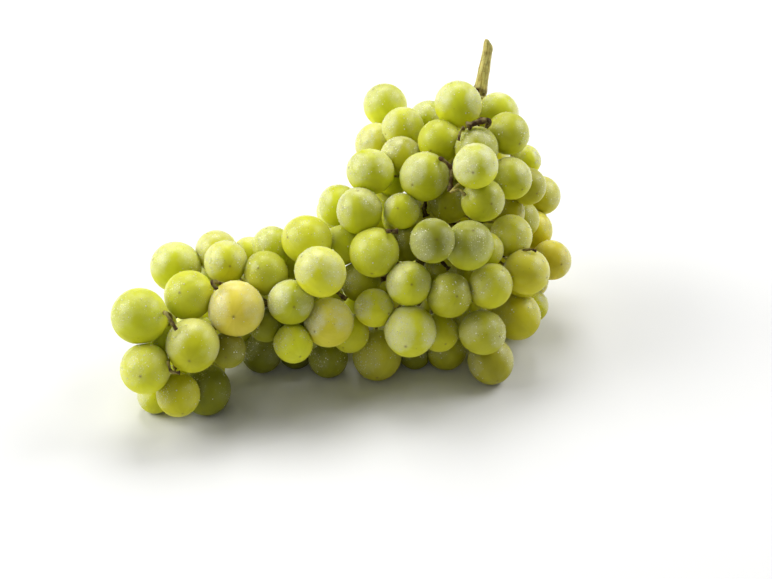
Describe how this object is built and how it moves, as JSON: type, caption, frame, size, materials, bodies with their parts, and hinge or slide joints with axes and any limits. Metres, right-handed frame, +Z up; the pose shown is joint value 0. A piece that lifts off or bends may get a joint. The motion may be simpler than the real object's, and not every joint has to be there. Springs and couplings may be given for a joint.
{
  "type": "bunch of grapes",
  "caption": "Bunch of round white table grapes lying on its side, shoulder raised and tail stretched out, with a short cut stem; food or table dressing.",
  "frame": {"origin": "centre of the bounding box at the surface the bunch lies on", "axes": "+X from the tail to the shoulder of the bunch, +Y away from the viewer, +Z up"},
  "size_m": [0.1922, 0.143, 0.1155],
  "materials": {
    "rachis": "matte green-brown stem",
    "grape_skin": "satin translucent skin with a light bloom"
  },
  "bodies": {
    "root": {"rachis": "rachis", "berries_shoulder": "grape_skin", "berries_body": "grape_skin", "berries_tail": "grape_skin"}
  },
  "joints": []
}
